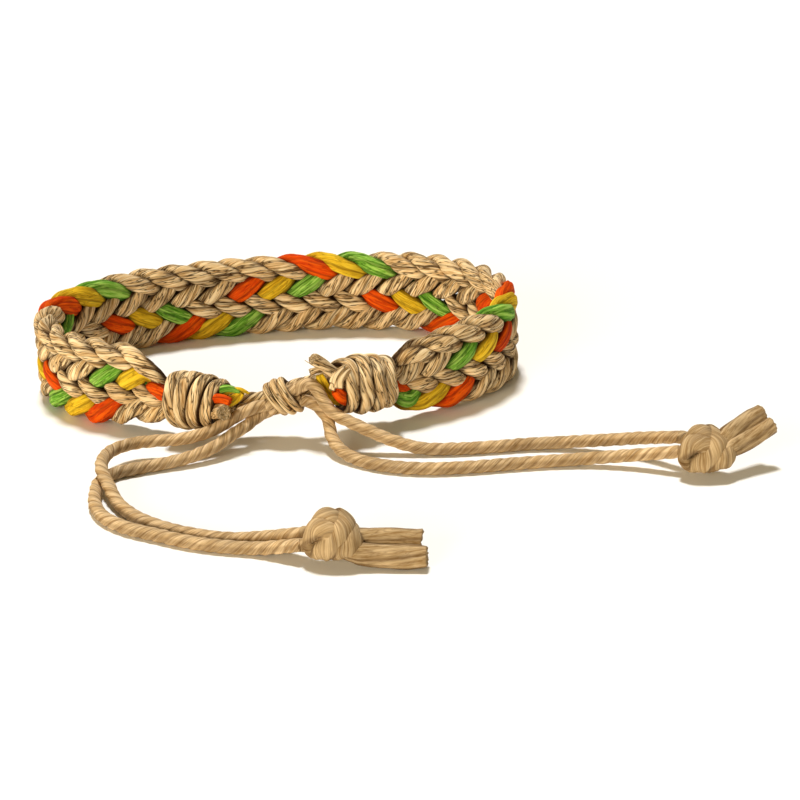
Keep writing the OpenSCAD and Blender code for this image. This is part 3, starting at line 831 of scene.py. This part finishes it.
for number, (name, node, slot, material, lean, cords) in enumerate(cut_ends):
    skins = []
    for route, high, wide, spread in cords:
        path = smooth_curve(route, cut_step)
        grown = 1 + (spread - 1) * (length_along(path) / length_along(path)[-1]) ** 2
        skins.append(cord_skin(path, lean, high * grown, wide * grown,
                               seed=first_cut_seed + number, **cut_look))
    piece = cord_piece(name, skins, material)
    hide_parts(node)

# Bridges: on each side two of the band's own cords run on from the whipped end into the
# sliding knot. They are the same tan cord, and the knot holds them.
knot_rise = np.radians(16)
knot_out = np.array([np.cos(knot_rise), 0, np.sin(knot_rise)])
knot_up = np.array([-np.sin(knot_rise), 0, np.cos(knot_rise)])
knot_front = np.array([0, -1.0, 0])
knot_len = 4.2
knot_left = np.array([-0.6, -19.2, 5.0])
knot_right = knot_left + knot_len * knot_out
bridge_pull = 2
bridge_steps = 40
inside_neck = 1
inside_knot = 0.8
bridge_seed = 70


def bridge_path(s, sense, place, knot_face, knot_place, knot_way):
    """Curve of a bridge: one cubic arc that leaves the neck's face and enters the knot's face
    straight, bent by bridge_pull, begun inside_neck within the one and ended inside_knot
    within the other. Place is out and up on the neck, knot_place front and up on the knot."""
    middle, outward = band_frame(np.array([s]))
    way = sense * np.cross(outward[0], up)
    neck = middle[0] + up * np.interp(s, necks[:, 0], necks[:, 1])
    a = neck + place[0] * outward[0] + place[1] * up
    d = knot_face + knot_place[0] * knot_front + knot_place[1] * knot_up
    t = np.linspace(0, 1, bridge_steps)[:, None]
    arc = (a * (1 - t) ** 3 + 3 * (a + bridge_pull * way) * t * (1 - t) ** 2
           + 3 * (d - bridge_pull * knot_way) * t * t * (1 - t) + d * t ** 3)
    return np.vstack([a - inside_neck * way, arc, d + inside_knot * knot_way])


bridges = {
    "left": [bridge_path(left_end, 1, [-1.2, 0.7], knot_left, [-0.25, 0.6], knot_out),
             bridge_path(left_end, 1, [-1.45, -1.05], knot_left, [-1.55, -0.8], knot_out)],
    "right": [bridge_path(band_len, -1, [-1.3, 0.55], knot_right, [-0.8, 0.7], -knot_out),
              bridge_path(band_len, -1, [-1.3, -1.05], knot_right, [-0.8, -0.9], -knot_out)]}
for side, paths in bridges.items():
    skins = [cord_skin(smooth_curve(path, cord_step), up, cord_r, cord_r,
                       seed=bridge_seed + number) for number, path in enumerate(paths)]
    piece = cord_piece(side + "_bridge_cords", skins, tan_fibre)
    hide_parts(side + "_upper_bridge", side + "_lower_bridge")

# Sliding knot: a cord of the closure wound three times, slantwise, round the four cords that
# run through it, tight enough to grip them and still slide.
coil_high = 0.72
coil_slant = 0.65
coil_tuck = 0.6
coil_step = 0.1
# seam and flank paint shade into the ply hollows and between neighbouring turns
coil_look = {"lay": 16, "groove": 0.05, "seam": 0.3, "crease": 0.05, "flank": 1.0, "sides": 30}
# Columns: distance along the axis from the knot's middle, distance of the cord's middle from
# the axis, and half the cord's width
coil_rows = np.array([[-0.93, 1.58, 0.47], [0.02, 1.8, 0.5], [0.97, 1.74, 0.54]])
coil_turns = len(coil_rows)
coil_done, coil_angle, coil_row = rounds(coil_turns)
coil_along, coil_radius, coil_wide = [
    np.interp(coil_row - 0.5, np.arange(coil_turns), column) for column in coil_rows.T]
coil_turned = np.radians(coil_angle)[:, None]
coil_lean = knot_front * np.cos(coil_turned) + knot_up * np.sin(coil_turned)
coil_radius = coil_radius - tucked(coil_done, coil_turns, coil_tuck)
coil_along = knot_len / 2 + coil_along - coil_slant * np.sin(coil_turned[:, 0])
coil_path = smooth_curve(
    knot_left + knot_out * coil_along[:, None] + coil_lean * coil_radius[:, None], coil_step)
coil_places = np.linspace(0, coil_turns, len(coil_path))
sliding_coil = cord_piece("sliding_coil", [cord_skin(
    coil_path, read_at(coil_places, coil_done, coil_lean), coil_high,
    np.interp(coil_places, coil_done, coil_wide), seed=85, **coil_look)], tan_fibre)

# Each cord in the coil runs from its place on the left face to its place on the right one,
# both front and up of the axis
core_ends = [([-0.25, 0.6], [0.8, 0.7]), ([-1.55, -0.8], [0.8, -0.9]),
             ([1.2, 0], [-0.8, 0.7]), ([0, -1.2], [-0.8, -0.9])]
core_over = 0.1 * knot_out
core_straight = 0.5 * knot_out
core_seed = 80
core_skins = []
for number, (left_place, right_place) in enumerate(core_ends):
    a = knot_left + left_place[0] * knot_front + left_place[1] * knot_up
    b = knot_right + right_place[0] * knot_front + right_place[1] * knot_up
    core_path = smooth_curve([a - core_over, a + core_straight, b - core_straight,
                              b + core_over], cord_step)
    core_skins.append(cord_skin(core_path, up, cord_r, cord_r, seed=core_seed + number))
cords_in_coil = cord_piece("cords_in_coil", core_skins, smooth_tan_fibre_painted_darker)
for piece in (sliding_coil, cords_in_coil):
    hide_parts("sliding_knot")

# Floor: a plain pale table under soft studio light. A broad lamp hangs above and a little
# behind, a low warm one in front lights the closure, and the warm room does the rest.
floor_half = 2.0
floor_colour = (0.93, 0.925, 0.9, 1)
floor_rough = 0.85
floor_mesh = bpy.data.meshes.new("floor")
floor_mesh.from_pydata([(-floor_half, -floor_half, 0), (floor_half, -floor_half, 0),
                        (floor_half, floor_half, 0), (-floor_half, floor_half, 0)],
                       [], [(0, 1, 2, 3)])
floor = bpy.data.objects.new("floor", floor_mesh)
bpy.context.scene.collection.objects.link(floor)
pale_table = bpy.data.materials.new("pale_table")
pale_table.use_nodes = True
table_shader = pale_table.node_tree.nodes["Principled BSDF"]
table_shader.inputs["Base Color"].default_value = floor_colour
table_shader.inputs["Roughness"].default_value = floor_rough
floor_mesh.materials.append(pale_table)

room_colour = (1, 0.82, 0.5, 1)
room_strength = 0.17
world = bpy.context.scene.world or bpy.data.worlds.new("studio")
bpy.context.scene.world = world
world.use_nodes = True
world.node_tree.nodes["Background"].inputs["Color"].default_value = room_colour
world.node_tree.nodes["Background"].inputs["Strength"].default_value = room_strength


def soft_lamp(name, way, spread, strength, colour):
    """Wide lamp far away: its light comes from one way, spread over an angle in degrees."""
    data = bpy.data.lights.new(name, "SUN")
    data.angle = np.radians(spread)
    data.energy = strength
    data.color = colour
    lamp = bpy.data.objects.new(name, data)
    lamp.matrix_world = Vector(way).to_track_quat("Z", "Y").to_matrix().to_4x4()
    bpy.context.scene.collection.objects.link(lamp)


soft_lamp("upper_lamp", way=(-0.05, 0.3, 1.0), spread=10, strength=3.15,
          colour=(1.0, 0.995, 0.99))
soft_lamp("front_lamp", way=(-0.5, -0.75, 0.18), spread=40, strength=3.0,
          colour=(1.0, 0.87, 0.65))
